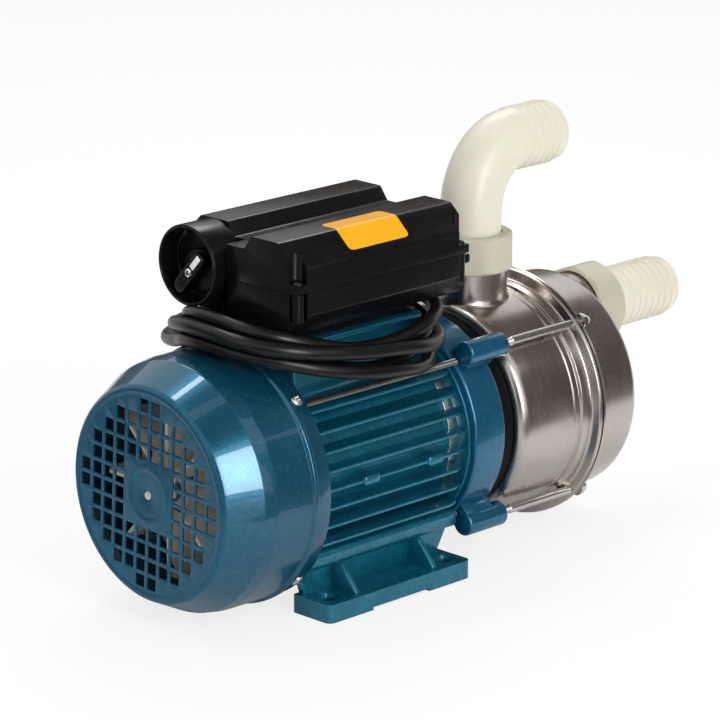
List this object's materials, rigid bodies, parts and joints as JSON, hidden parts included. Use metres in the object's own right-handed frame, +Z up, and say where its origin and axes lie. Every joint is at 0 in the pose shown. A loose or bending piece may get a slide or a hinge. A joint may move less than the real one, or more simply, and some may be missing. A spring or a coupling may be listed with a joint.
{
  "type": "electric transfer pump",
  "caption": "Foot-mounted electric transfer pump: finned fan-cooled motor, stainless pump casing, barbed hose tails, switch box and coiled power cord.",
  "frame": {"origin": "on the surface that the feet stand on, in the middle of the length and under the shaft axis", "axes": "+X runs along the shaft from the fan grille to the front hose tail, +Z is up, +Y is the side with the rotary switch"},
  "size_m": [0.4102, 0.1692, 0.2401],
  "materials": {
    "teal_paint": "glossy metallic teal paint with a fine sparkle",
    "cast_aluminium": "bare casting, lightly machined",
    "zinc_steel": "bright plated steel",
    "stainless_sheet": "drawn stainless sheet, polished at the rims",
    "black_plastic": "glossy moulded black plastic",
    "black_rubber": "matt black rubber",
    "natural_nylon": "cream natural nylon, satin",
    "enamelled_copper": "varnished copper winding",
    "core_steel": "dark laminated core",
    "seal_ceramic": "lapped white ceramic",
    "capacitor_shell": "plain pale plastic shell",
    "white_insert": "white plastic marker"
  },
  "bodies": {
    "pump": {"motor_housing": "teal_paint", "stator_core": "core_steel", "winding_rear": "enamelled_copper", "winding_front": "enamelled_copper", "rear_bearing": "zinc_steel", "front_bearing": "zinc_steel", "rear_shield": "cast_aluminium", "front_shield": "teal_paint", "motor_bolt_1": "zinc_steel", "motor_bolt_2": "zinc_steel", "motor_bolt_3": "zinc_steel", "motor_bolt_4": "zinc_steel", "fan_cover": "teal_paint", "fan_cover_screw_1": "zinc_steel", "fan_cover_screw_2": "zinc_steel", "fan_cover_screw_3": "zinc_steel", "fan_cover_screw_4": "zinc_steel", "backing_disc": "black_rubber", "pump_casing": "stainless_sheet", "casing_gasket": "black_rubber", "front_cover": "stainless_sheet", "tie_rod_1": "stainless_sheet", "tie_rod_2": "stainless_sheet", "tie_rod_3": "stainless_sheet", "tie_rod_4": "stainless_sheet", "cap_nut_1": "stainless_sheet", "cap_nut_2": "stainless_sheet", "cap_nut_3": "stainless_sheet", "cap_nut_4": "stainless_sheet", "seal_seat": "seal_ceramic", "diffuser": "natural_nylon", "box_base": "black_plastic", "box_lid": "black_plastic", "lid_screw_1": "zinc_steel", "lid_screw_2": "zinc_steel", "lid_screw_3": "zinc_steel", "lid_screw_4": "zinc_steel", "run_capacitor": "capacitor_shell", "terminal_block": "natural_nylon", "switch_body": "black_plastic", "cord_gland": "black_plastic", "cord_coil": "black_rubber", "power_cord": "black_rubber", "cord_tail": "black_rubber", "plug": "black_rubber"},
    "rotor": {"motor_shaft": "zinc_steel", "rotor_core": "core_steel", "cooling_fan": "natural_nylon", "seal_ring": "black_rubber", "impeller": "stainless_sheet", "impeller_nut": "stainless_sheet"},
    "knob": {"switch_knob": "black_plastic", "knob_pointer": "white_insert", "knob_screw": "zinc_steel"},
    "top_nut": {"top_union_nut": "natural_nylon"},
    "elbow": {"elbow_barb": "natural_nylon"},
    "front_nut": {"front_union_nut": "natural_nylon"},
    "front_tail": {"front_barb": "natural_nylon"}
  },
  "joints": [
    {"name": "rotor_spin", "type": "hinge", "parent": "pump", "child": "rotor", "pos_m": [0, 0, 0.073], "axis": [1, 0, 0], "continuous": true},
    {"name": "switch_turn", "type": "hinge", "parent": "pump", "child": "knob", "pos_m": [-0.1396, 0.0262, 0.1794], "axis": [1, 0, 0], "range_deg": [-90, 0]},
    {"name": "top_nut_turn", "type": "hinge", "parent": "pump", "child": "top_nut", "pos_m": [0.041, 0, 0.165], "axis": [0, 0, 1], "continuous": true},
    {"name": "elbow_swivel", "type": "hinge", "parent": "pump", "child": "elbow", "pos_m": [0.041, 0, 0.165], "axis": [0, 0, 1], "range_deg": [-110, 110]},
    {"name": "front_nut_turn", "type": "hinge", "parent": "pump", "child": "front_nut", "pos_m": [0.1375, 0, 0.1115], "axis": [1, 0, 0], "continuous": true},
    {"name": "front_tail_turn", "type": "hinge", "parent": "pump", "child": "front_tail", "pos_m": [0.1375, 0, 0.1115], "axis": [1, 0, 0], "continuous": true}
  ]
}
